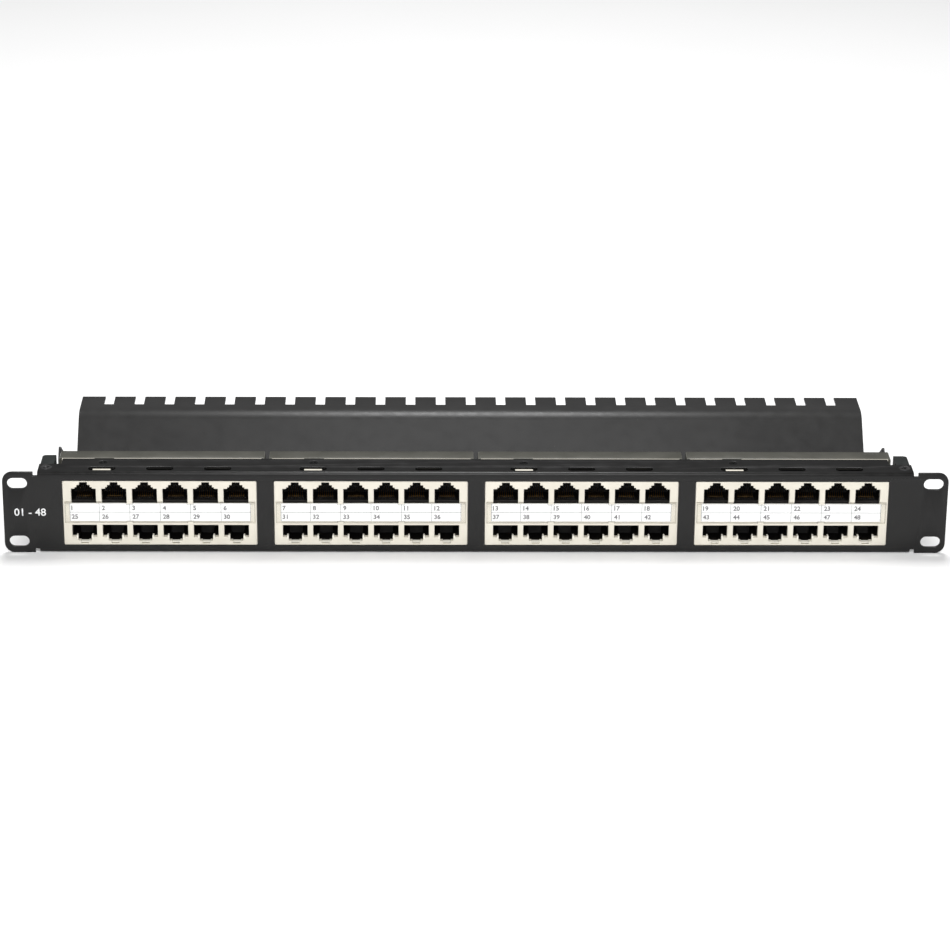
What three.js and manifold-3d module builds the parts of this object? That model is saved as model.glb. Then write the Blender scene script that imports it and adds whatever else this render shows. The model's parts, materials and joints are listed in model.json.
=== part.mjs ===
// Rack patch panel, one unit high: 48 sockets in four modules, with a removable cable tray at the rear.
// Millimetres. X runs across the panel, Y from the face towards the rear, and Z up.
// Inside the panel group the face is the plane Y = 0, the lower edge is Z = 0 and X = 0 is the middle.

import * as THREE from "three";
import { mergeVertices } from "three/addons/utils/BufferGeometryUtils.js";
import Module from "manifold-3d";

const wasm = await Module();
wasm.setup();

// ---------------------------------------------------------------- driving dimensions

const gap = 0.3; // between separate pieces that touch
const gridLines = 1024; // per millimetre

// The folded steel panel, to the 19-inch rack standard
const panelWidth = 481;
const panelHeight = 44;
const panelSheet = 1.5;
const panelCornerRadius = 5;
const rackHoleSpacingX = 465.9;
const rackHoleSpacingZ = 31.75;
const rackSlotLength = 10.1;
const rackSlotHeight = 5.8;
const flangeHalfWidth = 222.65; // the folded edges stop here, short of the ears
const flangeDepth = 19.2;
const flangeEndHalfWidth = 211.4; // past this the folded edges are shallower
const flangeEndDepth = 11.9;
const reliefWidth = 2.2; // notch between each folded edge and the ear
const reliefDepth = 2;
const midHeight = panelHeight / 2;
const bendStep = 1; // longest facet round a bend
const bendStepsAtLeast = 6; // in each bend, however small

// The four modules, each a pair of rows of six sockets
const moduleCount = 4;
const modulePitch = 107.28;
const socketCount = 6;
const socketPitch = 15.47;
const socketMidHeight = 21.61; // the sockets' own middle, a little below the panel's

// Bezel: front plate in the panel's window, with a wider rim behind the sheet
const bezelWidth = 98.2;
const bezelHeight = 34.92;
const bezelFront = gap;
const bezelBack = 3.3;
const bezelRim = 1.2; // how far the rim reaches past the front plate
const bezelRimFront = panelSheet + gap;
const bezelFoot = 1.9; // the lugs' roots start here, behind the panel's sheet
const labelRecess = { halfWidth: 48.5, low: 15.9, high: 27.9, floor: 1.9 };
const labelGroove = { low: 27.1, floor: 2.9 }; // above the window the recess is deeper

// A socket's mouth: half widths and distances from the socket mid height to the stepped latch side
const mouth = [
  { halfWidth: 6.35, reach: 13.35 },
  { halfWidth: 4.4, reach: 14.15 },
  { halfWidth: 3.4, reach: 15.4 },
  { halfWidth: 2.02, reach: 16.9 },
];
const mouthContactEdge = { upper: 26, lower: 15.1 }; // the upper row's is hidden behind the window
const cavityContactEdge = { upper: 27.4, lower: 15.1 };

// Behind the bezel the socket's cavity has one latch channel
const cavity = [
  { halfWidth: 6.35, reach: 13.35 },
  { halfWidth: 3.4, reach: 16.9 },
];

// Lugs that hold the bezel in the slots of the folded edges, and nubs that hold the label window
const lugOffset = 29.4; // from the module's middle, as are the panel's slots and screws
const lugWidth = 9;
const lugBack = 5.4;
const lugRoot = { upper: 39.6, lower: 3.65 };
const lugShoulder = 20; // reaches are from the panel's mid height
const tallLugReach = 21.85; // nearly flush with the outside of the folded edge
const flangeSlotLength = 13.9;
const flangeSlotFront = 3.4;
const flangeSlotBack = 8;
const nubOffset = socketPitch;
const nubWidth = 2.6;
const nubOverlap = 0.25; // onto the window
const nubRoot = 0.6; // into the bezel

// Socket rows, circuit board, punch-down rows and dust cover, front to rear
const jackHalfWidth = 46.7;
const jackFront = bezelBack + gap;
const jackBack = 16.9;
const jackCavityBack = 15.2;
const jackOuterReach = 17.7; // from the socket mid height
const boardThickness = 1.6;
const boardHalfWidth = 50;
const boardHalfHeight = 18;
const punchFront = jackBack + gap + boardThickness + gap;
const punchBodyBack = 24;
const punchRidgeBack = 29.2;
const punchHalfWidth = 51;
const punchReach = 19.9; // from the panel's mid height
const punchRidges = [
  [1.7, 7.7],
  [10.7, 16.7],
];
const punchRib = { front: 19.6, back: 21, reach: 21.4, notchHalfWidth: 5 };
const coverWall = 1.2;
const coverClearance = 0.4;
const coverFront = punchRib.back + gap;

// Label card and its clear window
const windowHalfWidth = 48.2;
const windowLow = 16.4;
const windowHigh = 27;
const windowFront = -0.2;
const windowBack = 0.9;
const cardHalfWidth = 46;
const cardLow = 16.8;
const cardHigh = 26.6;
const cardFront = 1.2;
const cardBack = 1.5;

// Screws, all countersunk so that the panel stays one unit high
const bracketScrew = { x: 218.6, y: 7.4, headRadius: 2.9, shankRadius: 1.5, length: 6 };
const moduleScrew = { y: 14, headRadius: 2.3, shankRadius: 1.1, length: 6.6 };
const screwSides = 10;

// Side brackets: a channel at each end, open outwards, that carries a pin for the tray
const bracketSheet = 1.2;
const bracketWeb = 215.6; // inner face of the web
const bracketOuter = 222.6;
const bracketFront = 2.2;
const bracketBack = 28.5;
const bracketLow = panelSheet + gap;
const bracketHigh = panelHeight - bracketLow;
const bracketFoot = { front: 34, back: 46, high: 26, low: 6, shoulder: 34 }; // the web's rear half, round the pin
const pin = { y: 40, z: 16, radius: 1.5, innerHeadRadius: 3.5, outerHeadRadius: 3, innerEnd: 208.3 };
const pinHeadThickness = 1.6;

// Cable tray: one folded sheet, with a shelf, a ramp and a toothed rear edge, and an arm at each end
const traySheet = 1.2;
const trayShiftX = -1.5; // it sits hard over on its pins
const trayHalfWidth = 208.1;
const trayShelfFront = 32;
const trayRampFoot = 45.4; // where the upper faces of shelf and ramp would meet
const trayRampHead = 87.1; // where the upper faces of ramp and toothed edge would meet
const trayBack = 110;
const trayTop = 43.5;
const trayFootRadius = 6;
const trayHeadRadius = 10;
const toothPitch = 16.1;
const notchCount = 25;
const notchWidth = 5;
const notchDepth = 11.5;
const armOuter = 213.7; // from the tray's own middle
const armFront = 31.2;

// ---------------------------------------------------------------- shapes and solids

// A closed three.js geometry as a solid that can be joined and cut. Its points are snapped to a grid of
// about a micrometre, so that faces drawn in one plane stay exactly in one plane.
function solid(geometry) {
  geometry.deleteAttribute("normal");
  geometry.deleteAttribute("uv");
  const merged = mergeVertices(geometry, 1e-4);
  return new wasm.Manifold(
    new wasm.Mesh({
      numProp: 3,
      vertProperties: merged.attributes.position.array.map((value) => Math.round(value * gridLines) / gridLines),
      triVerts: new Uint32Array(merged.index.array),
    }),
  );
}

// A named mesh made from a solid
function piece(name, body, material) {
  const { vertProperties, triVerts } = body.getMesh();
  const geometry = new THREE.BufferGeometry();
  geometry.setAttribute("position", new THREE.BufferAttribute(vertProperties, 3));
  geometry.setIndex(new THREE.BufferAttribute(triVerts, 1));
  geometry.computeVertexNormals();
  const mesh = new THREE.Mesh(geometry, material);
  mesh.name = name;
  return mesh;
}

function box(x0, x1, y0, y1, z0, z1) {
  const size = [Math.abs(x1 - x0), Math.abs(y1 - y0), Math.abs(z1 - z0)];
  const geometry = new THREE.BoxGeometry(...size);
  geometry.translate((x0 + x1) / 2, (y0 + y1) / 2, (z0 + z1) / 2);
  return solid(geometry);
}

// curveSegments is half the number of straight steps in each arc
function extruded(shape, depth, curveSegments) {
  return new THREE.ExtrudeGeometry(shape, { depth, bevelEnabled: false, curveSegments });
}

// An outline drawn in X and Z, made solid between two Y values
function frontal(shape, y0, y1, curveSegments = 1) {
  const geometry = extruded(shape, y1 - y0, curveSegments);
  geometry.rotateX(Math.PI / 2);
  geometry.translate(0, y1, 0);
  return solid(geometry);
}

// An outline drawn in Y and Z, made solid between two X values
function across(shape, x0, x1, curveSegments = 1) {
  const geometry = extruded(shape, Math.abs(x1 - x0), curveSegments);
  const axes = [new THREE.Vector3(0, 1, 0), new THREE.Vector3(0, 0, 1), new THREE.Vector3(1, 0, 0)];
  geometry.applyMatrix4(new THREE.Matrix4().makeBasis(...axes));
  geometry.translate(Math.min(x0, x1), 0, 0);
  return solid(geometry);
}

// An outline drawn in X and Y, made solid between two Z values
function upright(shape, z0, z1, curveSegments = 1) {
  const geometry = extruded(shape, z1 - z0, curveSegments);
  geometry.translate(0, 0, z0);
  return solid(geometry);
}

function polygon(points) {
  return new THREE.Shape(points.map(([a, b]) => new THREE.Vector2(a, b)));
}

// A rectangle with rounded corners
function rounded(a0, a1, b0, b1, radius) {
  const shape = new THREE.Shape();
  shape.absarc(a1 - radius, b1 - radius, radius, 0, Math.PI / 2);
  shape.absarc(a0 + radius, b1 - radius, radius, Math.PI / 2, Math.PI);
  shape.absarc(a0 + radius, b0 + radius, radius, Math.PI, 1.5 * Math.PI);
  shape.absarc(a1 - radius, b0 + radius, radius, 1.5 * Math.PI, 2 * Math.PI);
  return shape;
}

// A rectangle with its corners cut off
function clipped(a, b, length, height, cut) {
  const right = [
    [length / 2 - cut, -height / 2],
    [length / 2, -height / 2 + cut],
    [length / 2, height / 2 - cut],
    [length / 2 - cut, height / 2],
  ];
  const left = right.map(([x, y]) => [-x, y]).reverse();
  return polygon([...right, ...left].map(([x, y]) => [a + x, b + y]));
}

// A slot with round ends, longer along the first axis
function slot(a, b, length, height) {
  return rounded(a - length / 2, a + length / 2, b - height / 2, b + height / 2, height / 2 - 0.01);
}

// The section of a bent sheet: its middle surface runs through the corners, rounded to a radius each
function bentSheet(corners, radii, thickness) {
  const points = corners.map(([a, b]) => new THREE.Vector2(a, b));
  const middle = [points[0]];
  for (let i = 1; i < points.length - 1; i += 1) {
    const into = points[i].clone().sub(points[i - 1]).normalize();
    const out = points[i + 1].clone().sub(points[i]).normalize();
    const tangent = radii[i - 1] * Math.tan(Math.acos(into.dot(out)) / 2);
    const start = points[i].clone().addScaledVector(into, -tangent);
    const end = points[i].clone().addScaledVector(out, tangent);
    const turn = Math.sign(into.cross(out));
    const normal = new THREE.Vector2(-into.y, into.x).multiplyScalar(turn);
    const centre = start.clone().addScaledVector(normal, radii[i - 1]);
    const from = start.clone().sub(centre).angle();
    const sweep = turn * Math.acos(into.dot(out));
    const steps = Math.max(bendStepsAtLeast, Math.ceil((Math.abs(sweep) * radii[i - 1]) / bendStep));
    for (let k = 0; k < steps; k += 1) {
      const angle = from + (sweep * k) / steps;
      middle.push(new THREE.Vector2(Math.cos(angle), Math.sin(angle)).multiplyScalar(radii[i - 1]).add(centre));
    }
    middle.push(end);
  }
  middle.push(points.at(-1));
  const upper = [];
  const lower = [];
  middle.forEach((point, i) => {
    const before = middle[Math.max(i - 1, 0)];
    const after = middle[Math.min(i + 1, middle.length - 1)];
    const along = after.clone().sub(before).normalize();
    const side = new THREE.Vector2(-along.y, along.x).multiplyScalar(thickness / 2);
    upper.push(point.clone().add(side));
    lower.push(point.clone().sub(side));
  });
  return new THREE.Shape([...upper, ...lower.reverse()]);
}

// A countersunk screw or its hole, head up at Z = 0; grow makes the hole larger than the screw
function countersunk({ headRadius, shankRadius, length }, grow) {
  const headDepth = headRadius - shankRadius;
  const profile = [
    [0, 0],
    [headRadius + grow, 0],
    [shankRadius + grow, -headDepth],
    [shankRadius + grow, -length - grow],
    [0, -length - grow],
  ].map(([radius, z]) => new THREE.Vector2(radius, z));
  const geometry = new THREE.LatheGeometry(profile.reverse(), screwSides);
  geometry.rotateX(Math.PI / 2);
  return solid(geometry);
}

// The screw or hole above, moved to a place on the upper (side 1) or lower (side -1) folded edge
function onEdge(body, x, y, side) {
  const turned = side > 0 ? body : body.rotate([180, 0, 0]);
  return turned.translate([x, y, midHeight + side * midHeight]);
}

function disc(x0, x1, y, z, radius) {
  const geometry = new THREE.CylinderGeometry(radius, radius, Math.abs(x1 - x0), screwSides);
  geometry.rotateZ(Math.PI / 2);
  geometry.translate((x0 + x1) / 2, y, z);
  return solid(geometry);
}

const sides = [1, -1];
const moduleNumbers = Array.from({ length: moduleCount }, (_, i) => i);
const moduleX = (index) => (index - (moduleCount - 1) / 2) * modulePitch;
const socketX = Array.from({ length: socketCount }, (_, i) => (i - (socketCount - 1) / 2) * socketPitch);

// ---------------------------------------------------------------- materials

function paint(color, roughness, metalness, opacity = 1) {
  return new THREE.MeshStandardMaterial({ color, roughness, metalness, opacity, transparent: opacity < 1 });
}

const materials = {
  panelPaint: paint(0x29292b, 0.55, 0.2),
  bracketPaint: paint(0x323836, 0.5, 0.3),
  creamPlastic: paint(0xe8e0cc, 0.4, 0),
  blackPlastic: paint(0x0c0a09, 0.45, 0),
  board: paint(0x1c4a2c, 0.4, 0),
  smokePlastic: paint(0x6e6d66, 0.25, 0, 0.8),
  paper: paint(0xf6f6f4, 0.8, 0),
  clearPlastic: paint(0xf4f6f6, 0.1, 0, 0.25),
  blackScrew: paint(0x1c1c1d, 0.35, 0.8),
  pinSteel: paint(0x9a9a98, 0.35, 0.9),
};

// ---------------------------------------------------------------- front panel

function frontPanel() {
  const half = panelSheet / 2;
  const section = bentSheet(
    [
      [flangeDepth, panelHeight - half],
      [half, panelHeight - half],
      [half, half],
      [flangeDepth, half],
    ],
    [1.05, 1.05],
    panelSheet,
  );
  let body = across(section, -flangeHalfWidth - 0.5, flangeHalfWidth + 0.5);

  const face = rounded(-panelWidth / 2, panelWidth / 2, 0, panelHeight, panelCornerRadius);
  const middle = box(-flangeHalfWidth, flangeHalfWidth, -1, panelSheet + 1, -1, panelHeight + 1);
  body = body.add(frontal(face, 0, panelSheet, 3).subtract(middle));

  for (const side of sides) {
    const inner = side * flangeHalfWidth;
    const outer = side * (flangeHalfWidth + reliefWidth);
    body = body.subtract(box(inner, outer, -1, flangeDepth + 1, panelHeight - reliefDepth, panelHeight + 1));
    body = body.subtract(box(inner, outer, -1, flangeDepth + 1, -1, reliefDepth));
    const end = [side * flangeEndHalfWidth, side * (flangeHalfWidth + 1)];
    body = body.subtract(box(...end, flangeEndDepth, flangeDepth + 1, -1, panelHeight + 1));
    for (const level of sides) {
      const x = (side * rackHoleSpacingX) / 2;
      const z = midHeight + (level * rackHoleSpacingZ) / 2;
      body = body.subtract(frontal(slot(x, z, rackSlotLength, rackSlotHeight), -1, panelSheet + 1, 3));
      const hole = countersunk(bracketScrew, gap / 2);
      body = body.subtract(onEdge(hole, side * bracketScrew.x, bracketScrew.y, level));
    }
  }

  const slotDepth = flangeSlotBack - flangeSlotFront;
  const slotY = (flangeSlotFront + flangeSlotBack) / 2;
  for (const index of moduleNumbers) {
    const x = moduleX(index);
    const halfWidth = bezelWidth / 2 + gap;
    const low = socketMidHeight - bezelHeight / 2 - gap;
    const high = socketMidHeight + bezelHeight / 2 + gap;
    body = body.subtract(frontal(rounded(x - halfWidth, x + halfWidth, low, high, 0.8), -1, panelSheet + 1));
    for (const offset of [-lugOffset, 0, lugOffset]) {
      const outline = clipped(x + offset, slotY, flangeSlotLength, slotDepth, 1.2);
      body = body.subtract(upright(outline, -1, panelHeight + 1));
    }
    for (const level of sides) {
      const hole = countersunk(moduleScrew, gap / 2);
      body = body.subtract(onEdge(hole, x - lugOffset, moduleScrew.y, level));
    }
  }
  return body;
}

// ---------------------------------------------------------------- module pieces, about the module's middle

// A socket's stepped outline, with its latch side up (side 1) or down (side -1)
function socketOutline(steps, contactEdge, x, side) {
  const right = [[x + steps[0].halfWidth, side > 0 ? contactEdge.upper : contactEdge.lower]];
  steps.forEach(({ halfWidth, reach }, i) => {
    right.push([x + halfWidth, socketMidHeight + side * reach]);
    if (i + 1 < steps.length) {
      right.push([x + steps[i + 1].halfWidth, socketMidHeight + side * reach]);
    }
  });
  const left = right.map(([a, b]) => [2 * x - a, b]).reverse();
  return polygon([...right, ...left]);
}

function jackBezel() {
  const low = socketMidHeight - bezelHeight / 2;
  const high = socketMidHeight + bezelHeight / 2;
  const halfWidth = bezelWidth / 2;
  let body = frontal(rounded(-halfWidth, halfWidth, low, high, 0.5), bezelFront, bezelBack);
  const rim = rounded(-halfWidth - bezelRim, halfWidth + bezelRim, low - bezelRim, high + bezelRim, 0.5);
  body = body.add(frontal(rim, bezelRimFront, bezelBack));

  for (const side of sides) {
    // A tall lug stands in the first slot of each folded edge, and a short one stops under the third
    for (const [offset, reach] of [[-lugOffset, tallLugReach], [lugOffset, lugShoulder]]) {
      const x = [offset - lugWidth / 2, offset + lugWidth / 2];
      const root = side > 0 ? lugRoot.upper : lugRoot.lower;
      body = body.add(box(...x, bezelFoot, lugBack, root, midHeight + side * lugShoulder));
      body = body.add(box(...x, flangeSlotFront + gap, lugBack, root, midHeight + side * reach));
    }
  }

  const { halfWidth: recess, low: recessLow, high: recessHigh, floor } = labelRecess;
  body = body.subtract(box(-recess, recess, -1, floor, recessLow, recessHigh));
  body = body.subtract(box(-recess, recess, -1, labelGroove.floor, labelGroove.low, recessHigh));
  for (const x of socketX) {
    for (const side of sides) {
      body = body.subtract(frontal(socketOutline(mouth, mouthContactEdge, x, side), -1, bezelBack + 1));
    }
  }
  for (const x of [-nubOffset, nubOffset]) {
    const span = [x - nubWidth / 2, x + nubWidth / 2];
    body = body.add(box(...span, bezelFront - 0.2, 1, windowHigh - nubOverlap, recessHigh + nubRoot));
    body = body.add(box(...span, bezelFront - 0.2, 1, recessLow - nubRoot, windowLow + nubOverlap));
  }
  return body;
}

function jackRow(side) {
  const inner = midHeight + side * gap;
  const outer = socketMidHeight + side * jackOuterReach;
  let body = box(-jackHalfWidth, jackHalfWidth, jackFront, jackBack, inner, outer);
  for (const x of socketX) {
    body = body.subtract(frontal(socketOutline(cavity, cavityContactEdge, x, side), jackFront - 1, jackCavityBack));
  }
  const hole = countersunk(moduleScrew, gap);
  return body.subtract(onEdge(hole, -lugOffset, moduleScrew.y, side));
}

function circuitBoard() {
  const front = jackBack + gap;
  const outline = rounded(-boardHalfWidth, boardHalfWidth, midHeight - boardHalfHeight, midHeight + boardHalfHeight, 1);
  return frontal(outline, front, front + boardThickness);
}

// Two toothed ridges on a body, and a rib that stands just behind the panel's folded edge
function punchRow(side) {
  const level = (reach) => midHeight + side * reach;
  let body = box(-punchHalfWidth, punchHalfWidth, punchFront, punchBodyBack, level(gap), level(punchReach));
  for (const [low, high] of punchRidges) {
    body = body.add(box(-punchHalfWidth, punchHalfWidth, punchFront + 1, punchRidgeBack, level(low), level(high)));
  }
  const rib = [punchRib.front, punchRib.back, level(punchReach - 1), level(punchRib.reach)];
  body = body.add(box(-punchHalfWidth, -lugOffset - punchRib.notchHalfWidth, ...rib));
  return body.add(box(-lugOffset + punchRib.notchHalfWidth, punchHalfWidth, ...rib));
}

function dustCover() {
  const halfWidth = punchHalfWidth + coverClearance;
  const halfHeight = punchReach + coverClearance;
  const back = punchRidgeBack + coverClearance;
  const outline = rounded(
    -halfWidth - coverWall,
    halfWidth + coverWall,
    midHeight - halfHeight - coverWall,
    midHeight + halfHeight + coverWall,
    0.8,
  );
  const inside = box(-halfWidth, halfWidth, 0, back, midHeight - halfHeight, midHeight + halfHeight);
  return frontal(outline, coverFront, back + coverWall).subtract(inside);
}

function labelCard() {
  return box(-cardHalfWidth, cardHalfWidth, cardFront, cardBack, cardLow, cardHigh);
}

function labelWindow() {
  let body = box(-windowHalfWidth, windowHalfWidth, windowFront, windowBack, windowLow, windowHigh);
  for (const x of [-nubOffset, nubOffset]) {
    const span = [x - nubWidth / 2 - gap, x + nubWidth / 2 + gap];
    body = body.subtract(box(...span, -1, windowBack + 1, windowHigh - nubOverlap - gap, windowHigh + 1));
    body = body.subtract(box(...span, -1, windowBack + 1, windowLow - 1, windowLow + nubOverlap + gap));
  }
  return body;
}

// ---------------------------------------------------------------- side pieces, left (side -1) and right (side 1)

function sideBracket(side) {
  const web = polygon([
    [bracketFront, bracketLow],
    [bracketFront, bracketHigh],
    [bracketBack, bracketHigh],
    [bracketBack, bracketFoot.shoulder],
    [bracketFoot.front, bracketFoot.high],
    [bracketFoot.back, bracketFoot.high],
    [bracketFoot.back, bracketFoot.low],
    [bracketFoot.front, bracketLow],
  ]);
  let body = across(web, side * bracketWeb, side * (bracketWeb + bracketSheet));
  const inner = side * bracketWeb;
  const outer = side * bracketOuter;
  const reach = [side * (bracketWeb - 5), outer].sort((a, b) => a - b);
  const tab = rounded(...reach, bracketFront - 5, bracketBack, 2); // only its rear outer corner is kept
  for (const low of [bracketLow, bracketHigh - bracketSheet]) {
    const kept = box(inner, outer, bracketFront, bracketBack, low, low + bracketSheet);
    body = body.add(upright(tab, low - 1, low + bracketSheet + 1, 2).intersect(kept));
  }
  for (const level of sides) {
    const hole = countersunk(bracketScrew, gap);
    body = body.subtract(onEdge(hole, side * bracketScrew.x, bracketScrew.y, level));
  }
  const pinHole = [side * (bracketWeb - 1), side * (bracketWeb + bracketSheet + 1)];
  return body.subtract(disc(...pinHole, pin.y, pin.z, pin.radius + gap));
}

// A shoulder pin through the bracket's web, with a head at each end
function trayPin(side) {
  const webOuter = bracketWeb + bracketSheet + gap;
  const ends = [side * pin.innerEnd, side * (pin.innerEnd + pinHeadThickness)];
  let body = disc(side * pin.innerEnd, side * (webOuter + 0.5), pin.y, pin.z, pin.radius);
  body = body.add(disc(...ends, pin.y, pin.z, pin.innerHeadRadius));
  return body.add(disc(side * webOuter, side * (webOuter + bracketSheet), pin.y, pin.z, pin.outerHeadRadius));
}

// ---------------------------------------------------------------- cable tray, about its own middle

// The arm at each end is folded up from the shelf: a hook at the top, and a slot for the pin
function trayArm(side) {
  const outline = new THREE.Shape();
  outline.moveTo(armFront, 0);
  outline.lineTo(armFront, 38.4);
  outline.lineTo(34.9, 42.5);
  outline.absarc(36.6, 41.6, 1.8, Math.PI * 0.86, Math.PI * 0.34, true);
  outline.lineTo(50, 35);
  outline.lineTo(50, 12);
  outline.lineTo(trayRampFoot, 0);
  const inner = side * (armOuter - traySheet);
  const outer = side * armOuter;
  const body = across(outline, inner, outer, 2);
  const radius = pin.radius + gap;
  const mouthOfSlot = box(inner * 0.9, outer * 1.1, armFront - 1, pin.y, pin.z - radius, pin.z + radius);
  return body.subtract(mouthOfSlot).subtract(disc(inner * 0.9, outer * 1.1, pin.y, pin.z, radius));
}

function cableTray() {
  const half = traySheet / 2;
  const slope = (trayTop - traySheet) / (trayRampHead - trayRampFoot);
  const lean = half * Math.tan(Math.atan(slope) / 2); // moves a corner from the upper face to the middle
  const section = bentSheet(
    [
      [trayShelfFront, half],
      [trayRampFoot + lean, half],
      [trayRampHead + lean, trayTop - half],
      [trayBack, trayTop - half],
    ],
    [trayFootRadius, trayHeadRadius],
    traySheet,
  );
  let body = across(section, -trayHalfWidth, trayHalfWidth);
  const shelf = [trayShelfFront, trayRampFoot - 3, 0, traySheet];
  body = body.add(box(-armOuter, armOuter, ...shelf));
  for (const side of sides) {
    body = body.add(trayArm(side));
  }
  for (let i = 0; i < notchCount; i += 1) {
    const x = (i - (notchCount - 1) / 2) * toothPitch;
    const span = [x - notchWidth / 2, x + notchWidth / 2];
    body = body.subtract(box(...span, trayBack - notchDepth, trayBack + 1, trayTop - 3, trayTop + 1));
  }
  return body;
}

// ---------------------------------------------------------------- assembly

const panel = new THREE.Group();
panel.add(piece("front_panel", frontPanel(), materials.panelPaint));

const shared = {
  bezel: jackBezel(),
  jacks: { upper: jackRow(1), lower: jackRow(-1) },
  board: circuitBoard(),
  punch: { upper: punchRow(1), lower: punchRow(-1) },
  cover: dustCover(),
  card: labelCard(),
  window: labelWindow(),
  screw: countersunk(moduleScrew, 0),
};

for (const index of moduleNumbers) {
  const number = index + 1;
  const module = new THREE.Group();
  module.position.x = moduleX(index);
  module.add(piece(`jack_bezel_${number}`, shared.bezel, materials.creamPlastic));
  module.add(piece(`jack_row_upper_${number}`, shared.jacks.upper, materials.blackPlastic));
  module.add(piece(`jack_row_lower_${number}`, shared.jacks.lower, materials.blackPlastic));
  module.add(piece(`circuit_board_${number}`, shared.board, materials.board));
  module.add(piece(`idc_row_upper_${number}`, shared.punch.upper, materials.creamPlastic));
  module.add(piece(`idc_row_lower_${number}`, shared.punch.lower, materials.creamPlastic));
  module.add(piece(`dust_cover_${number}`, shared.cover, materials.smokePlastic));
  module.add(piece(`label_card_${number}`, shared.card, materials.paper));
  module.add(piece(`label_window_${number}`, shared.window, materials.clearPlastic));
  for (const [name, side] of [["top", 1], ["bottom", -1]]) {
    const screw = onEdge(shared.screw, -lugOffset, moduleScrew.y, side);
    module.add(piece(`module_screw_${name}_${number}`, screw, materials.blackScrew));
  }
  panel.add(module);
}

for (const [name, side] of [["left", -1], ["right", 1]]) {
  panel.add(piece(`side_bracket_${name}`, sideBracket(side), materials.bracketPaint));
  panel.add(piece(`tray_pin_${name}`, trayPin(side), materials.pinSteel));
  for (const [place, level] of [["top", 1], ["bottom", -1]]) {
    const screw = onEdge(countersunk(bracketScrew, 0), side * bracketScrew.x, bracketScrew.y, level);
    panel.add(piece(`bracket_screw_${name}_${place}`, screw, materials.blackScrew));
  }
}

const tray = piece("cable_tray", cableTray(), materials.panelPaint);
tray.position.x = trayShiftX;
panel.add(tray);

// The part's origin is under the middle of its depth
panel.position.y = -(windowFront + trayBack) / 2;
const part = new THREE.Group();
part.add(panel);

export default part;
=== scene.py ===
"""Looks for a 48-port rack patch panel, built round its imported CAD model.

Metres, with X across the panel, +Y to the rear and +Z up.
"""

import json
import math

import bmesh
import bpy
from mathutils import Matrix, Vector


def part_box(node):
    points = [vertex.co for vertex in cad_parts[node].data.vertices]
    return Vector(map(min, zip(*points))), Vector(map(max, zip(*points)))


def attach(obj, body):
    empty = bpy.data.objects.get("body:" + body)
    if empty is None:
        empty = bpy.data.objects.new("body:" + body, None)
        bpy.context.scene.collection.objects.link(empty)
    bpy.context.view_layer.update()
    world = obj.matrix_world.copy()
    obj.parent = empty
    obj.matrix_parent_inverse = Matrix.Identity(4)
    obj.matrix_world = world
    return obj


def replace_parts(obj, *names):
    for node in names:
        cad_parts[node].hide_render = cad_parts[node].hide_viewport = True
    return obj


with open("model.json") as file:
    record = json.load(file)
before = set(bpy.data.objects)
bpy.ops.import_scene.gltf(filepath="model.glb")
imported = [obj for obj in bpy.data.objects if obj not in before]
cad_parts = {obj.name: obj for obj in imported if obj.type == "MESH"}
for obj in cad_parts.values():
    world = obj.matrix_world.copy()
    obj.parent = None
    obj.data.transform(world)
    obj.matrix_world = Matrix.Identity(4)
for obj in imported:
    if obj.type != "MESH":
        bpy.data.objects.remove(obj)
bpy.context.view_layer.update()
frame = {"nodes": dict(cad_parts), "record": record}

MM = 0.001
MODULES = (1, 2, 3, 4)
SOCKETS = 6
WIRES = 8

# ---------------------------------------------------------------- places taken from the frame


def middle(node):
    low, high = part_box(node)
    return (low + high) / 2


def opening(name):
    found = next(o for o in frame["record"]["physics"]["openings"] if o["name"] == name)
    return [Vector(corner) for corner in found["box_m"]]


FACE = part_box("front_panel")[0].y  # the panel's front face
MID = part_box("front_panel")[1].z / 2  # half the panel's height
SOCKET_PITCH = opening("socket_2")[0].x - opening("socket_1")[0].x
MODULE_X = {n: middle(f"jack_bezel_{n}").x for n in MODULES}
SOCKET_X = [(i - (SOCKETS - 1) / 2) * SOCKET_PITCH for i in range(SOCKETS)]
UPPER_FLOOR = opening("socket_1")[0].z - 0.1 * MM  # the contact side of an upper socket
LOWER_FLOOR = 15.1 * MM  # the contact side of a lower socket, which is the other way up
SCREW_OFFSET = middle("module_screw_top_1").x - MODULE_X[1]

# ---------------------------------------------------------------- node-based materials


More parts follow.
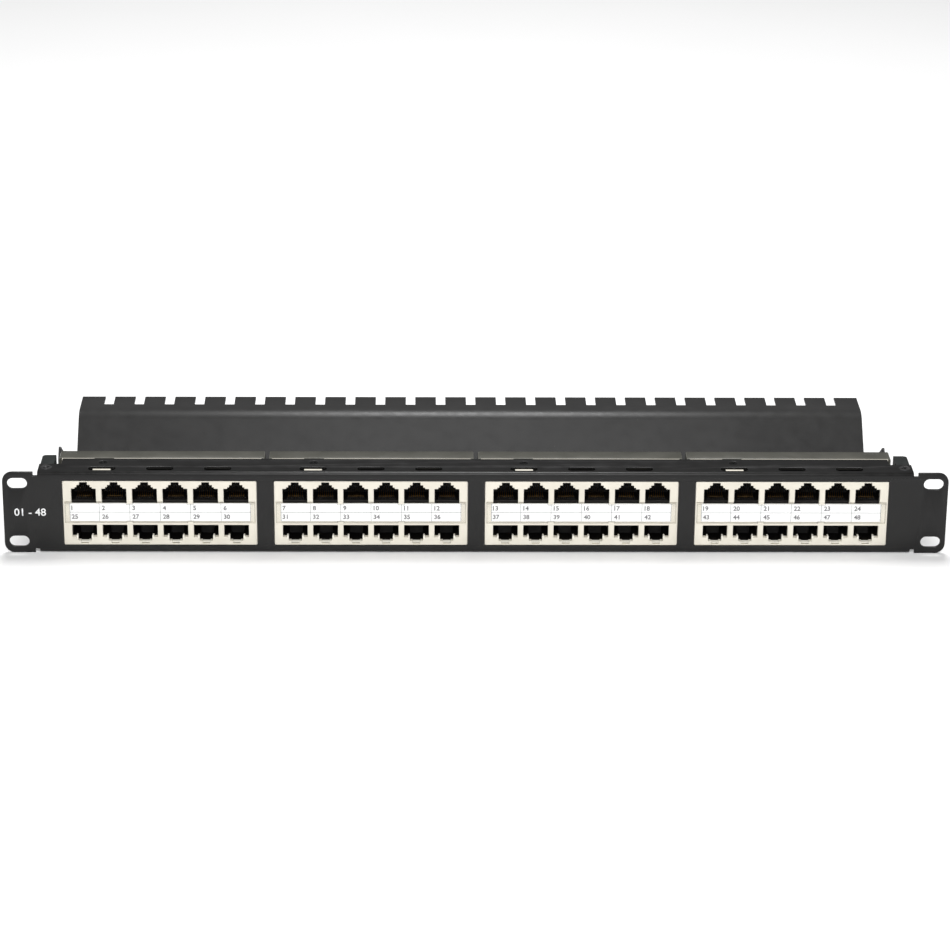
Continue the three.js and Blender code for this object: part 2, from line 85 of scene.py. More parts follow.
class Finish:
    """A material with a Principled shader. Even values are set on it, and patterns are linked to it."""

    def __init__(self, name, **even):
        self.material = bpy.data.materials.new(name)
        self.material.use_nodes = True
        self.nodes = self.material.node_tree.nodes
        self.links = self.material.node_tree.links
        self.shader = next(n for n in self.nodes if n.type == "BSDF_PRINCIPLED")
        self.place = self.nodes.new("ShaderNodeTexCoord").outputs["Object"]
        self.normal = None
        for socket, value in even.items():
            self.shader.inputs[socket.replace("_", " ")].default_value = value

    def noise(self, size, detail=3.0, stretch=(1, 1, 1)):
        """Soft noise with blotches about size metres across, longer along an axis with a small stretch."""
        scaled = self.nodes.new("ShaderNodeMapping")
        scaled.inputs["Scale"].default_value = [s / size for s in stretch]
        self.links.new(self.place, scaled.inputs["Vector"])
        pattern = self.nodes.new("ShaderNodeTexNoise")
        pattern.inputs["Scale"].default_value = 1
        pattern.inputs["Detail"].default_value = detail
        self.links.new(scaled.outputs["Vector"], pattern.inputs["Vector"])
        return pattern.outputs["Fac"]

    def specks(self, spacing, radius):
        """1 on small round specks, about spacing metres apart, and 0 elsewhere."""
        cells = self.nodes.new("ShaderNodeTexVoronoi")
        cells.inputs["Scale"].default_value = 1 / spacing
        self.links.new(self.place, cells.inputs["Vector"])
        inside = self.nodes.new("ShaderNodeMath")
        inside.operation = "LESS_THAN"
        inside.inputs[1].default_value = radius / spacing
        self.links.new(cells.outputs["Distance"], inside.inputs[0])
        return inside.outputs["Value"]

    def spread(self, factor, low, high, start=0.3, end=0.7):
        """Maps a factor between start and end to the numbers low to high."""
        ranged = self.nodes.new("ShaderNodeMapRange")
        for socket, value in (("From Min", start), ("From Max", end), ("To Min", low), ("To Max", high)):
            ranged.inputs[socket].default_value = value
        self.links.new(factor, ranged.inputs["Value"])
        return ranged.outputs["Result"]

    def mix(self, factor, first, second):
        """The colour first where the factor is 0 and second where it is 1. Each is a colour or a socket."""
        blended = self.nodes.new("ShaderNodeMix")
        blended.data_type = "RGBA"
        self.links.new(factor, blended.inputs["Factor"])
        for socket, colour in ((blended.inputs[6], first), (blended.inputs[7], second)):
            if isinstance(colour, bpy.types.NodeSocket):
                self.links.new(colour, socket)
            else:
                socket.default_value = (*colour, 1)
        return blended.outputs[2]

    def colour(self, value):
        self.links.new(value, self.shader.inputs["Base Color"])

    def roughness(self, value):
        self.links.new(value, self.shader.inputs["Roughness"])

    def bump(self, height, depth):
        """Raises the surface by up to depth metres where the height factor is 1."""
        raised = self.nodes.new("ShaderNodeBump")
        raised.inputs["Distance"].default_value = depth
        raised.inputs["Strength"].default_value = 1
        self.links.new(height, raised.inputs["Height"])
        if self.normal is not None:
            self.links.new(self.normal, raised.inputs["Normal"])
        self.normal = raised.outputs["Normal"]
        self.links.new(self.normal, self.shader.inputs["Normal"])


def powder_coat(name, dark, light, roughness=0.36, peel=0.014 * MM):
    """Satin paint with fine orange peel, slow tone changes and a little pale dust."""
    finish = Finish(name, Specular_IOR_Level=0.3)
    tone = finish.mix(finish.spread(finish.noise(26 * MM), 0, 1), dark, light)
    dust = [4 * c + 0.05 for c in light]
    finish.colour(finish.mix(finish.specks(9 * MM, 0.11 * MM), tone, dust))
    finish.roughness(finish.spread(finish.noise(6 * MM), roughness - 0.05, roughness + 0.07))
    finish.bump(finish.noise(0.9 * MM, detail=2), peel)
    finish.bump(finish.noise(0.25 * MM, detail=1), peel / 5)
    return finish.material


def moulded(name, dark, light, roughness=0.42, **even):
    """Moulded plastic: fine spark-eroded grain, faint flow marks and slightly uneven gloss."""
    finish = Finish(name, Specular_IOR_Level=0.4, **even)
    flow = finish.noise(14 * MM, stretch=(1, 1, 0.35))
    finish.colour(finish.mix(finish.spread(flow, 0, 1), dark, light))
    finish.roughness(finish.spread(finish.noise(3 * MM), roughness - 0.06, roughness + 0.08))
    finish.bump(finish.noise(0.22 * MM, detail=2), 0.004 * MM)
    return finish.material


def metal(name, dark, light, roughness):
    """Plated metal with fine drawing lines and a mottled plate."""
    finish = Finish(name, Metallic=1.0)
    finish.colour(finish.mix(finish.spread(finish.noise(1.6 * MM), 0, 1), dark, light))
    finish.roughness(finish.spread(finish.noise(0.7 * MM), roughness - 0.08, roughness + 0.12))
    finish.bump(finish.noise(0.15 * MM, detail=2, stretch=(1, 0.2, 1)), 0.003 * MM)
    return finish.material


def solder_mask(name):
    """Green solder mask with the raised lines of the copper beneath it."""
    finish = Finish(name, Specular_IOR_Level=0.5, Coat_Weight=0.3, Coat_Roughness=0.15)
    tracks = finish.noise(2.2 * MM, detail=0, stretch=(1, 1, 0.25))
    raised = finish.spread(tracks, 0, 1, start=0.48, end=0.52)
    finish.colour(finish.mix(raised, (0.012, 0.06, 0.022), (0.03, 0.12, 0.045)))
    finish.roughness(finish.spread(finish.noise(4 * MM), 0.25, 0.4))
    finish.bump(raised, 0.035 * MM)
    return finish.material


def card(name):
    """Coated white card with fine fibres."""
    finish = Finish(name, Specular_IOR_Level=0.2)
    fibres = finish.noise(0.5 * MM, detail=4, stretch=(0.3, 1, 1))
    finish.colour(finish.mix(finish.spread(fibres, 0, 1), (0.955, 0.955, 0.95), (0.975, 0.975, 0.97)))
    finish.roughness(finish.spread(fibres, 0.6, 0.75))
    finish.bump(fibres, 0.006 * MM)
    return finish.material


def clear(name, tint, alpha):
    """Thin clear plastic with faint moulding waves."""
    finish = Finish(name, Specular_IOR_Level=0.5, Alpha=alpha)
    finish.colour(finish.mix(finish.spread(finish.noise(8 * MM), 0, 1), tint, [0.94 * c for c in tint]))
    finish.roughness(finish.spread(finish.noise(5 * MM), 0.08, 0.16))
    finish.bump(finish.noise(7 * MM, detail=1), 0.003 * MM)
    return finish.material


def ink(name, dark, light):
    """Screen-printed ink, a little thin in places."""
    finish = Finish(name, Specular_IOR_Level=0.25)
    finish.colour(finish.mix(finish.spread(finish.noise(0.4 * MM), 0, 1), dark, light))
    finish.roughness(finish.spread(finish.noise(0.6 * MM), 0.5, 0.65))
    return finish.material


PANEL_PAINT = powder_coat("panel_powder_coat", (0.0075, 0.0073, 0.0073), (0.0105, 0.0102, 0.0101), 0.34)
# lighter paint on the rounded edges of the panel, tray and brackets: a painted highlight
PANEL_EDGE_HIGHLIGHT = powder_coat("panel_edge_painted_highlight", (0.018, 0.018, 0.018), (0.028, 0.028, 0.028), 0.34, 0.006 * MM)
TRAY_PAINT = powder_coat("tray_powder_coat", (0.026, 0.0257, 0.0256), (0.031, 0.0305, 0.0302))
BRACKET_PAINT = powder_coat("bracket_paint", (0.013, 0.0155, 0.015), (0.018, 0.021, 0.0205), 0.5)
CREAM = moulded("cream_moulding", (0.71, 0.67, 0.575), (0.78, 0.74, 0.645))
# lighter, glossier cream on the bezels' rounded edges and the lower sockets' teeth: a painted highlight
CREAM_HIGHLIGHT = moulded("cream_moulding_painted_highlight", (0.84, 0.81, 0.72), (0.88, 0.85, 0.76), 0.3)
BLACK = moulded("black_moulding", (0.0035, 0.003, 0.0028), (0.006, 0.0052, 0.0048), 0.4)
BOARD = solder_mask("board_solder_mask")
SMOKE = moulded("smoke_moulding", (0.072, 0.071, 0.06), (0.096, 0.094, 0.08), 0.34, Alpha=0.9)
# lighter smoke plastic on the dust covers' rounded edges: a painted highlight
SMOKE_HIGHLIGHT = moulded("smoke_moulding_painted_highlight", (0.15, 0.147, 0.128), (0.2, 0.196, 0.172), 0.3)
CARD = card("label_card_stock")
CLEAR = clear("clear_window", (0.95, 0.96, 0.96), 0.04)
# darker, more opaque plastic on the windows' rounded edges: painted shade for their dark border lines
CLEAR_EDGE_SHADE = clear("clear_window_painted_edge_shade", (0.45, 0.43, 0.38), 0.55)
MODULE_SCREW = metal("black_zinc_screw", (0.012, 0.012, 0.012), (0.025, 0.025, 0.025), 0.4)
BRACKET_SCREW = metal("worn_zinc_screw", (0.08, 0.08, 0.082), (0.16, 0.16, 0.16), 0.34)
STEEL = metal("zinc_pin_steel", (0.42, 0.42, 0.41), (0.55, 0.55, 0.54), 0.33)
GOLD = metal("gold_contact", (0.2, 0.12, 0.04), (0.26, 0.16, 0.06), 0.32)
GREY_INK = ink("grey_ink", (0.15, 0.15, 0.155), (0.2, 0.2, 0.205))
WHITE_INK = ink("white_ink", (0.86, 0.87, 0.87), (0.93, 0.94, 0.94))

# ---------------------------------------------------------------- softened edges on the CAD nodes

SHARP_EDGE = math.radians(38)  # edges that turn more than this are rounded
EDGE_STEPS = 2


def smooth_by_angle(limit):
    """A modifier group that drops the imported normals and shades smooth except across sharp edges."""
    group = bpy.data.node_groups.new("smooth_by_angle", "GeometryNodeTree")
    group.interface.new_socket("Geometry", in_out="INPUT", socket_type="NodeSocketGeometry")
    group.interface.new_socket("Geometry", in_out="OUTPUT", socket_type="NodeSocketGeometry")
    add = group.nodes.new
    start, end = add("NodeGroupInput"), add("NodeGroupOutput")
    drop = add("GeometryNodeRemoveAttribute")
    drop.inputs["Name"].default_value = "custom_normal"
    faces, edges = add("GeometryNodeSetShadeSmooth"), add("GeometryNodeSetShadeSmooth")
    edges.domain = "EDGE"
    angle, below = add("GeometryNodeInputMeshEdgeAngle"), add("FunctionNodeCompare")
    below.operation = "LESS_THAN"
    below.inputs[1].default_value = limit
    for source, target in (
        (start.outputs[0], drop.inputs["Geometry"]),
        (drop.outputs["Geometry"], faces.inputs["Geometry"]),
        (faces.outputs["Geometry"], edges.inputs["Geometry"]),
        (angle.outputs["Unsigned Angle"], below.inputs[0]),
        (below.outputs["Result"], edges.inputs["Shade Smooth"]),
        (edges.outputs["Geometry"], end.inputs[0]),
    ):
        group.links.new(source, target)
    return group


SMOOTHER = smooth_by_angle(math.radians(35))


def soften(thing, width, whole_faces):
    """Joins the imported triangles, rounds the sharp edges and smooths the shading.

    Flat triangles are merged into whole faces, except on a node whose faces have too many holes for that.
    """
    weld = thing.modifiers.new("weld", "WELD")
    weld.merge_threshold = 0.002 * MM
    if whole_faces:
        flat = thing.modifiers.new("flat_faces", "DECIMATE")
        flat.decimate_type = "DISSOLVE"
        flat.angle_limit = math.radians(0.8)
    bevel = thing.modifiers.new("rounded_edges", "BEVEL")
    bevel.width = width
    bevel.segments = EDGE_STEPS
    bevel.limit_method = "ANGLE"
    bevel.angle_limit = SHARP_EDGE
    bevel.use_clamp_overlap = False
    # the rounded edges take the node's last material, which is painted light where it is a second one
    bevel.material = len(thing.material_slots) - 1
    smooth = thing.modifiers.new("smooth_shading", "NODES")
    smooth.node_group = SMOOTHER


def finish_node(node, width, *materials, whole_faces=True):
    """Gives a CAD node its material, with the last one on its rounded edges; a second one there is painted
    light.
    """
    thing = frame["nodes"][node]
    thing.data.materials.clear()
    for material in materials:
        thing.data.materials.append(material)
    if width:
        soften(thing, width, whole_faces)


# ---------------------------------------------------------------- shapes for the new pieces


def prism(mesh, outline, low, high, plane="xz"):
    """Adds a closed outline, drawn in the plane's two axes, made solid from low to high along the third."""
    order = {"xz": (0, 2, 1), "xy": (0, 1, 2), "yz": (1, 2, 0)}[plane]
    rings = []
    for depth in (low, high):
        ring = []
        for point in outline:
            place = Vector()
            place[order[0]], place[order[1]], place[order[2]] = point[0], point[1], depth
            ring.append(mesh.verts.new(place))
        rings.append(ring)
    first, second = rings
    mesh.faces.new(first[::-1])
    mesh.faces.new(second)
    for i, corner in enumerate(first):
        after = (i + 1) % len(first)
        mesh.faces.new((corner, first[after], second[after], second[i]))


def block(mesh, x, y, z):
    """Adds a box between two X, two Y and two Z values."""
    prism(mesh, [(x[0], z[0]), (x[1], z[0]), (x[1], z[1]), (x[0], z[1])], *y)


def strip(mesh, path, half_thickness, x):
    """Adds a thin bent strip that follows a path in Y and Z, between two X values."""
    points = [Vector(p) for p in path]
    sides = ([], [])
    for i, point in enumerate(points):
        along = (points[min(i + 1, len(points) - 1)] - points[max(i - 1, 0)]).normalized()
        out = Vector((-along.y, along.x)) * half_thickness
        sides[0].append(point + out)
        sides[1].append(point - out)
    prism(mesh, sides[0] + sides[1][::-1], *x, "yz")


def join(target, source, offset=(0, 0, 0)):
    """Moves one bmesh into another, shifted by the offset."""
    bmesh.ops.translate(source, verts=source.verts, vec=offset)
    data = finished("joined", source)
    target.from_mesh(data)
    bpy.data.meshes.remove(data)


def finished(name, mesh):
    """The bmesh as mesh data, with its faces outwards."""
    bmesh.ops.recalc_face_normals(mesh, faces=mesh.faces)
    data = bpy.data.meshes.new(name)
    mesh.to_mesh(data)
    mesh.free()
    return data


def piece(name, shape, body, material, place=(0, 0, 0), turned_over=False):
    """Turns a bmesh, or mesh data that other pieces may share, into an object that rides on a body."""
    data = finished(name, shape) if isinstance(shape, bmesh.types.BMesh) else shape
    if not data.materials:
        data.materials.append(material)
    thing = bpy.data.objects.new(name, data)
    bpy.context.scene.collection.objects.link(thing)
    thing.location = place
    if turned_over:
        thing.rotation_euler = (math.pi, 0, 0)
    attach(thing, body)
    return thing


def rounded_edges(thing, width):
    """Rounds the sharp edges of a new piece."""
    bevel = thing.modifiers.new("rounded_edges", "BEVEL")
    bevel.width = width
    bevel.segments = EDGE_STEPS
    bevel.limit_method = "ANGLE"
    bevel.angle_limit = SHARP_EDGE
    return thing


# ---------------------------------------------------------------- screws

SCREW_SIZES = {  # head radius, shank radius and length in mm, and the recess's turn in degrees
    "bracket": (2.9, 1.5, 6, 24),
    "module": (2.3, 1.1, 6.6, 12),
}
SCREW_SIDES = 28
RINGS_PER_TURN = 6
THREAD_DEPTH = 0.16  # as a share of the shank's radius


def screw_mesh(name, head_radius, shank_radius, length, turn):
    """A countersunk screw, head up at Z 0: a rounded head, a rolled thread, a point and a recess."""
    pitch = 0.36 * shank_radius
    cone = head_radius - shank_radius
    rim = 0.12 * MM
    thread_start = -cone - 0.2 * MM
    tip = -length
    count = int((thread_start - tip - shank_radius) / pitch * RINGS_PER_TURN)
    rings = []
    for radius, z in ((head_radius - rim, 0.0), (head_radius, -rim), (shank_radius + 0.05 * MM, -cone)):
        rings.append([(radius, z)] * SCREW_SIDES)
    for step in range(count):
        z = thread_start - step * pitch / RINGS_PER_TURN
        ring = []
        for i in range(SCREW_SIDES):
            phase = (z / pitch + i / SCREW_SIDES) % 1
            groove = abs(phase - 0.5) * 2
            ring.append((shank_radius * (1 - THREAD_DEPTH * groove), z))
        rings.append(ring)
    rings.append([(shank_radius * 0.8, tip + shank_radius * 0.7)] * SCREW_SIDES)
    rings.append([(shank_radius * 0.25, tip)] * SCREW_SIDES)
    mesh = bmesh.new()
    loops = []
    for ring in rings:
        loop = []
        for i, (radius, z) in enumerate(ring):
            angle = 2 * math.pi * i / SCREW_SIDES
            loop.append(mesh.verts.new((radius * math.cos(angle), radius * math.sin(angle), z)))
        loops.append(loop)
    for upper, lower in zip(loops, loops[1:]):
        for i in range(SCREW_SIDES):
            after = (i + 1) % SCREW_SIDES
            mesh.faces.new((upper[i], lower[i], lower[after], upper[after]))
    mesh.faces.new(loops[0])
    mesh.faces.new(loops[-1][::-1])
    return recessed(name, mesh, head_radius, shank_radius, turn)


def recessed(name, mesh, head_radius, shank_radius, turn):
    """Cuts the tapered cross recess and gives back the finished mesh."""
    cutter = bmesh.new()
    arm, half, depth = 0.62 * head_radius, 0.13 * head_radius, 0.95 * shank_radius
    for quarter in (0, 1):
        shape = bmesh.new()
        prism(shape, [(-arm, -half), (arm, -half), (arm, half), (-arm, half)], -depth, 0.3 * MM, "xy")
        for corner in shape.verts:
            if corner.co.z < 0:
                corner.co.x *= 0.35
        around = Matrix.Rotation(turn + quarter * math.pi / 2, 4, "Z")
        bmesh.ops.transform(shape, matrix=around, verts=shape.verts)
        join(cutter, shape)
    screw = bpy.data.objects.new("screw_blank", finished(name, mesh))
    tool = bpy.data.objects.new("recess_tool", finished("recess", cutter))
    for thing in (screw, tool):
        bpy.context.scene.collection.objects.link(thing)
    cut = screw.modifiers.new("recess", "BOOLEAN")
    cut.operation = "DIFFERENCE"
    cut.solver = "EXACT"
    cut.use_self = True
    cut.object = tool
    depsgraph = bpy.context.evaluated_depsgraph_get()
    made = bpy.data.meshes.new_from_object(screw.evaluated_get(depsgraph))
    made.name = name
    for thing in (screw, tool):
        bpy.data.objects.remove(thing)
    made.shade_smooth()
    made.set_sharp_from_angle(angle=math.radians(30))
    return made


def put_screw(node, mesh, material):
    """Stands a detailed screw where a CAD screw is, with its head on the outside of the folded edge."""
    low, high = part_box(node)
    upwards = high.z > MID
    at = ((low.x + high.x) / 2, (low.y + high.y) / 2, high.z if upwards else low.z)
    thing = piece(f"{node}_cross", mesh, "panel", material, place=at, turned_over=not upwards)
    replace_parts(thing, node)


def screws():
    shapes = {}
    for kind, (head, shank, length, turn) in SCREW_SIZES.items():
        sizes = head * MM, shank * MM, length * MM
        shapes[kind] = screw_mesh(f"{kind}_screw", *sizes, math.radians(turn))
    for place in ("top", "bottom"):
        for side in ("left", "right"):
            put_screw(f"bracket_screw_{side}_{place}", shapes["bracket"], BRACKET_SCREW)
        for n in MODULES:
            put_screw(f"module_screw_{place}_{n}", shapes["module"], MODULE_SCREW)


# ---------------------------------------------------------------- socket insides

WIRE_PITCH = 1.02 * MM
WIRE_X = [(i - (WIRES - 1) / 2) * WIRE_PITCH for i in range(WIRES)]
WIRE_HALF_WIDTH = 0.17 * MM
WIRE_HALF_THICKNESS = 0.1 * MM
COMB_HALF_WIDTH = 0.2 * MM
ROWS = {"upper": (UPPER_FLOOR, 1), "lower": (LOWER_FLOOR, -1)}


def contact_wires(floor, side):
    """Eight sprung wires in each socket of a row, bent back over the front edge of the contact side."""
    mesh = bmesh.new()
    path = [(8.2, 0.35), (7.2, 0.42), (6.9, 0.8), (7.3, 1.15), (10.0, 2.5), (13.4, 4.3), (14.2, 4.5)]
    placed = [(FACE + y * MM, floor + side * z * MM) for y, z in path]
    for socket in SOCKET_X:
        for wire in WIRE_X:
            x = socket + wire
            strip(mesh, placed, WIRE_HALF_THICKNESS, (x - WIRE_HALF_WIDTH, x + WIRE_HALF_WIDTH))
    return mesh


def contact_combs(floor, side):
    """The black ribs that keep the wires apart, on the contact side and across the back of each socket."""
    mesh = bmesh.new()
    rise = [(5.0, 0.05), (9.5, 0.05), (9.5, 0.5), (5.8, 1.1), (5.0, 1.1)]
    back = [(13.6, 3.6), (15.1, 3.6), (15.1, 5.2), (14.4, 5.2)]
    for socket in SOCKET_X:
        for i in range(WIRES + 1):
            x = socket + (i - WIRES / 2) * WIRE_PITCH
            for outline in (rise, back):
                placed = [(FACE + y * MM, floor + side * z * MM) for y, z in outline]
                prism(mesh, placed, x - COMB_HALF_WIDTH, x + COMB_HALF_WIDTH, "yz")
    return mesh


def bezel_details():
    """Cream teeth beside the steps and a thin bar at the foot of the latch notch, inside each lower socket,
    in front of the black row.
    """
    mesh = bmesh.new()
    front, back = FACE + 0.7 * MM, FACE + 3.2 * MM
    for socket in SOCKET_X:
        for side in (-1, 1):
            inner, outer = socket + side * 3.42 * MM, socket + side * 4.3 * MM
            x = (min(inner, outer), max(inner, outer))
            tooth = [(x[0], 7.35), (x[1], 7.35), (x[1], 8.9), ((x[0] + x[1]) / 2, 9.3), (x[0], 8.9)]
            prism(mesh, [(a, z * MM) for a, z in tooth], front, back)
        block(mesh, (socket - 1.96 * MM, socket + 1.96 * MM), (front, back), (5.3 * MM, 5.75 * MM))
    return mesh


def socket_insides():
    teeth = finished("bezel_teeth", bezel_details())
    wires = {row: finished(f"contact_wires_{row}", contact_wires(*where)) for row, where in ROWS.items()}
    combs = {row: finished(f"contact_combs_{row}", contact_combs(*where)) for row, where in ROWS.items()}
    for n in MODULES:
        at = (MODULE_X[n], 0, 0)
        for row in ROWS:
            piece(f"contact_wires_{row}_{n}", wires[row], "panel", GOLD, place=at)
            piece(f"contact_combs_{row}_{n}", combs[row], "panel", BLACK, place=at)
        # the teeth and the notch bar are all in the lighter cream, a painted highlight
        toothed = piece(f"bezel_teeth_{n}", teeth, "panel", CREAM_HIGHLIGHT, place=at)
        rounded_edges(toothed, 0.06 * MM)


# ---------------------------------------------------------------- punch-down rows

RIDGES = ((1.7, 7.7), (10.7, 16.7))  # mm from the panel's mid-height
WIRE_SLOT = ((1.05, 0.0), (0.3, 1.3), (0.3, 4.4))  # half width and depth in mm, from the mouth inwards
TOWER_GAP = ((-0.5, 0), (-0.35, 2.6), (0.35, 2.6), (0.5, 0))  # between two sockets' towers, in mm
PRONG = ((0.06, 0.9), (0.28, 1.6), (0.28, 5.0), (0.06, 5.0))  # one side of a forked blade, in mm
PUNCH_WIRES = 4 * SOCKETS
PUNCH_PITCH = SOCKET_PITCH / 4
RIDGE_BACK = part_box("idc_row_upper_1")[1].y
BODY_BACK = FACE + 24 * MM


def punch_row(node, side):
    """A cream body, a rib behind the folded edge, and two ridges cut into towers by tapered wire slots."""
    low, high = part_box(node)
    half = (high.x - low.x) / 2
    mesh = bmesh.new()

    def level(*reaches):
        return sorted(MID + side * reach * MM for reach in reaches)

    block(mesh, (-half, half), (low.y, BODY_BACK), level(0.3, 19.9))
    comb = [(-half, BODY_BACK - 1 * MM), (-half, RIDGE_BACK - 0.6 * MM), (-half + 0.8 * MM, RIDGE_BACK)]
    for i in range(PUNCH_WIRES):
        x = (i - (PUNCH_WIRES - 1) / 2) * PUNCH_PITCH
        for way in (-1, 1):
            for out, down in WIRE_SLOT if way < 0 else WIRE_SLOT[::-1]:
                comb.append((x + way * out * MM, RIDGE_BACK - down * MM))
        if i % 4 == 3 and i < PUNCH_WIRES - 1:
            between = x + PUNCH_PITCH / 2
            for out, down in TOWER_GAP:
                comb.append((between + out * MM, RIDGE_BACK - down * MM))
    comb += [(half - 0.8 * MM, RIDGE_BACK), (half, RIDGE_BACK - 0.6 * MM), (half, BODY_BACK - 1 * MM)]
    for reaches in RIDGES:
        prism(mesh, comb, *level(*reaches), "xy")
    rib = ((FACE + 19.6 * MM, FACE + 21 * MM), level(18.9, 21.4))
    gap = SCREW_OFFSET - 5 * MM, SCREW_OFFSET + 5 * MM
    block(mesh, (-half, gap[0]), *rib)
    block(mesh, (gap[1], half), *rib)
    return mesh


def punch_blades(side):
    """The forked blade that stands in every wire slot."""
    mesh = bmesh.new()
    for inner, outer in RIDGES:
        z = MID + side * (inner + outer) / 2 * MM
        for i in range(PUNCH_WIRES):
            x = (i - (PUNCH_WIRES - 1) / 2) * PUNCH_PITCH
            for way in (-1, 1):
                outline = [(x + way * out * MM, RIDGE_BACK - down * MM) for out, down in PRONG]
                prism(mesh, outline, z - 1.2 * MM, z + 1.2 * MM, "xy")
    return mesh


def punch_downs():
    for row, side in (("upper", 1), ("lower", -1)):
        for n in MODULES:
            node = f"idc_row_{row}_{n}"
            at = (MODULE_X[n], 0, 0)
            shape = punch_row(node, side)
            towers = piece(f"punch_row_{row}_{n}", shape, "panel", CREAM, place=at)
            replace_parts(rounded_edges(towers, 0.12 * MM), node)
            blades = f"punch_blades_{row}_{n}"
            piece(blades, punch_blades(side), "panel", STEEL, place=at)


# ---------------------------------------------------------------- printing

PRINT_THICKNESS = 0.02 * MM
LINE = 0.2 * MM
DIGIT_HEIGHT = 2.55 * MM


def lettering(text, height, bold):
    """Text as a mesh in the X-Z plane, with its lower left corner at the origin, and its width."""
    curve = bpy.data.curves.new("lettering", "FONT")
    curve.body = text
    curve.size = 1
    curve.offset = bold
    curve.resolution_u = 4
    thing = bpy.data.objects.new("lettering", curve)
    bpy.context.scene.collection.objects.link(thing)
    depsgraph = bpy.context.evaluated_depsgraph_get()
    data = bpy.data.meshes.new_from_object(thing.evaluated_get(depsgraph))
    bpy.data.objects.remove(thing)
    mesh = bmesh.new()
    mesh.from_mesh(data)
    bpy.data.meshes.remove(data)
    bmesh.ops.remove_doubles(mesh, verts=mesh.verts, dist=1e-5)
    low = Vector([min(v.co[a] for v in mesh.verts) for a in range(3)])
    high = Vector([max(v.co[a] for v in mesh.verts) for a in range(3)])
    scale = height / (high.y - low.y)
    for v in mesh.verts:
        v.co = Vector(((v.co.x - low.x) * scale, 0, (v.co.y - low.y) * scale))
    grown = bmesh.ops.extrude_face_region(mesh, geom=mesh.faces[:])
    raised = [e for e in grown["geom"] if isinstance(e, bmesh.types.BMVert)]
    bmesh.ops.translate(mesh, verts=raised, vec=(0, -PRINT_THICKNESS, 0))
    return mesh, (high.x - low.x) * scale


def label_print(n):
    """A card's printed grid and its twelve port numbers, just in front of the card."""
    low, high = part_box(f"label_card_{n}")
    front = low.y - 0.02 * MM
    half, z_mid = (high.x - low.x) / 2, (low.z + high.z) / 2
    mesh = bmesh.new()
    depth = (front - PRINT_THICKNESS, front)
    block(mesh, (-half, half), depth, (z_mid - LINE / 2, z_mid + LINE / 2))
    for i in range(SOCKETS + 1):
        x = (i - SOCKETS / 2) * SOCKET_PITCH
        x = max(-half + LINE, min(half - LINE, x))
        block(mesh, (x - LINE / 2, x + LINE / 2), depth, (low.z + 0.1 * MM, high.z - 0.1 * MM))
    for row, z in ((0, z_mid + 1.1 * MM), (1, low.z + 1.2 * MM)):
        for i in range(SOCKETS):
            number = 1 + i + (n - 1) * SOCKETS + row * SOCKETS * len(MODULES)
            digits, _ = lettering(str(number), DIGIT_HEIGHT, bold=0.03)
            x = (i - SOCKETS / 2) * SOCKET_PITCH + 1.3 * MM
            join(mesh, digits, (x, front, z))
    piece(f"label_print_{n}", mesh, f"label_{n}", GREY_INK, place=(MODULE_X[n], 0, 0))


def ear_mark():
    """The panel's port range, printed on the left ear."""
    mesh, width = lettering("01 - 48", 4.1 * MM, bold=0.012)
    at = (-226.9 * MM - width / 2, FACE - 0.01 * MM, 20.1 * MM)
    piece("ear_mark", mesh, "panel", WHITE_INK, place=at)


def printing():
    for n in MODULES:
        label_print(n)
    ear_mark()


# ---------------------------------------------------------------- the part


def cad_finishes():
    """Materials and softened edges for the CAD nodes that stay, with painted highlights on the rounded edges
    and painted shade on the windows' edges.
    """
    finish_node("front_panel", 0.2 * MM, PANEL_PAINT, PANEL_EDGE_HIGHLIGHT)
    finish_node("cable_tray", 0.18 * MM, TRAY_PAINT, PANEL_EDGE_HIGHLIGHT)
    for side in ("left", "right"):
        finish_node(f"side_bracket_{side}", 0.16 * MM, BRACKET_PAINT, PANEL_EDGE_HIGHLIGHT)
        finish_node(f"tray_pin_{side}", 0.2 * MM, STEEL)
    for n in MODULES:
        finish_node(f"jack_bezel_{n}", 0.1 * MM, CREAM, CREAM_HIGHLIGHT, whole_faces=False)
        finish_node(f"circuit_board_{n}", 0.1 * MM, BOARD)
        finish_node(f"dust_cover_{n}", 0.2 * MM, SMOKE, SMOKE_HIGHLIGHT)
        finish_node(f"label_card_{n}", 0, CARD)
        finish_node(f"label_window_{n}", 0.12 * MM, CLEAR, CLEAR_EDGE_SHADE)
        for row in ROWS:
            finish_node(f"jack_row_{row}_{n}", 0.12 * MM, BLACK)


cad_finishes()
screws()
socket_insides()
punch_downs()
printing()

# ---------------------------------------------------------------- floor, light and camera


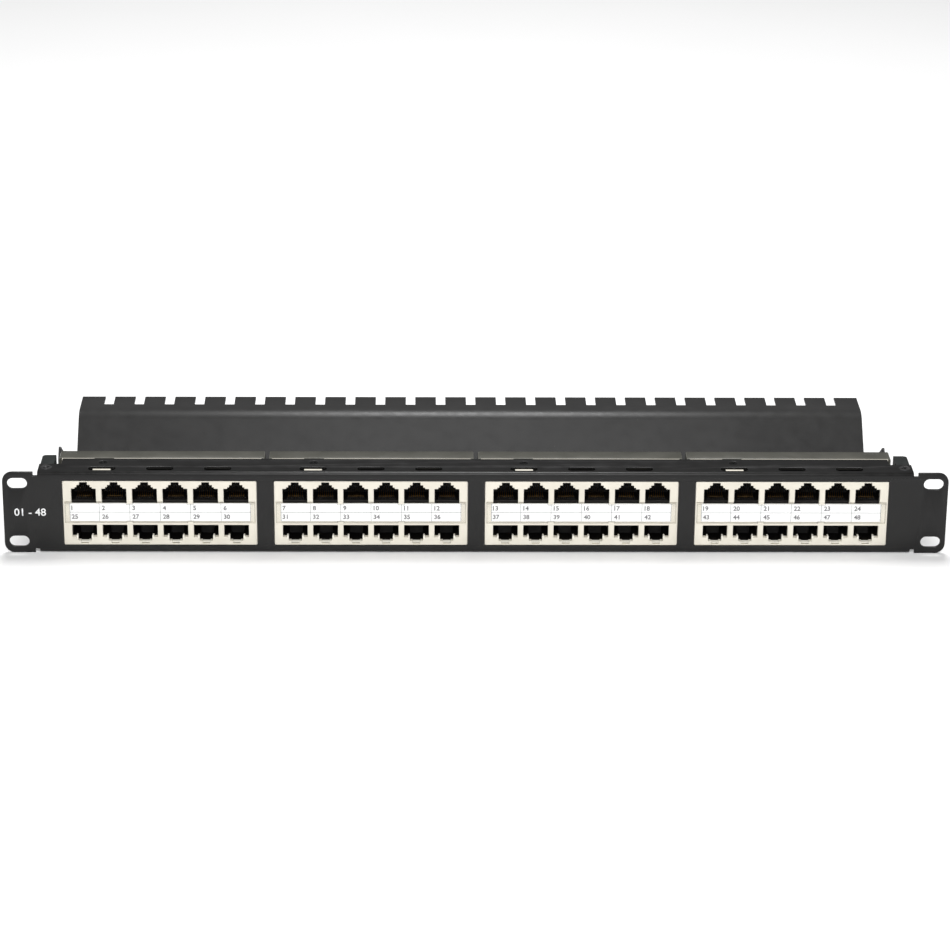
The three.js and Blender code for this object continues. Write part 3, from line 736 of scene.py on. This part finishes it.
def floor():
    mesh = bmesh.new()
    bmesh.ops.create_grid(mesh, x_segments=1, y_segments=1, size=8)
    data = finished("floor", mesh)
    thing = bpy.data.objects.new("floor", data)
    thing.location = (0, 0, -0.2 * MM)
    bpy.context.scene.collection.objects.link(thing)
    paper = Finish("floor_paper", Specular_IOR_Level=0.1, Roughness=0.9)
    paper.colour(paper.mix(paper.spread(paper.noise(0.3), 0, 1), (0.9, 0.9, 0.9), (0.92, 0.92, 0.92)))
    data.materials.append(paper.material)


def softbox(name, size, power, azimuth, elevation, distance):
    """A square area light that faces the part. Azimuth 0 is in front of it."""
    data = bpy.data.lights.new(name, "AREA")
    data.shape = "SQUARE"
    data.size = size
    data.energy = power
    around, up = math.radians(azimuth), math.radians(elevation)
    towards = Vector((math.sin(around) * math.cos(up), -math.cos(around) * math.cos(up), math.sin(up)))
    thing = bpy.data.objects.new(name, data)
    thing.location = towards * distance
    thing.rotation_euler = towards.to_track_quat("Z", "Y").to_euler()
    bpy.context.scene.collection.objects.link(thing)


def camera():
    """The photograph's viewing angle: a long lens, in front, above, and turned very slightly to the left."""
    yaw, down, roll = math.radians(-1.107), math.radians(22.084), math.radians(0.495)
    aim = Vector((-0.81 * MM, FACE, 42.87 * MM))
    distance = 1.6842
    ahead = Vector((-math.sin(yaw) * math.cos(down), math.cos(yaw) * math.cos(down), -math.sin(down)))
    right = Vector((math.cos(yaw), math.sin(yaw), 0))
    up = right.cross(ahead)
    turned_right = math.cos(roll) * right + math.sin(roll) * up
    turned_up = -math.sin(roll) * right + math.cos(roll) * up
    data = bpy.data.cameras.new("camera")
    data.lens = 125.79
    data.sensor_width = 36
    data.clip_end = 50
    thing = bpy.data.objects.new("camera", data)
    turn = Matrix((turned_right, turned_up, -ahead)).transposed().to_4x4()
    thing.matrix_world = Matrix.Translation(aim - ahead * distance) @ turn
    bpy.context.scene.collection.objects.link(thing)
    bpy.context.scene.camera = thing


def surroundings(strength):
    world = bpy.data.worlds.new("studio")
    world.use_nodes = True
    sky = next(n for n in world.node_tree.nodes if n.type == "BACKGROUND")
    sky.inputs["Color"].default_value = (1, 1, 1, 1)
    sky.inputs["Strength"].default_value = strength
    bpy.context.scene.world = world


floor()
softbox("key_softbox", 2.0, 60, 0, 45, 2.5)
softbox("top_softbox", 0.8, 26, 180, 70, 1.8)
surroundings(0.12)
camera()
bpy.context.scene.view_settings.view_transform = "Standard"
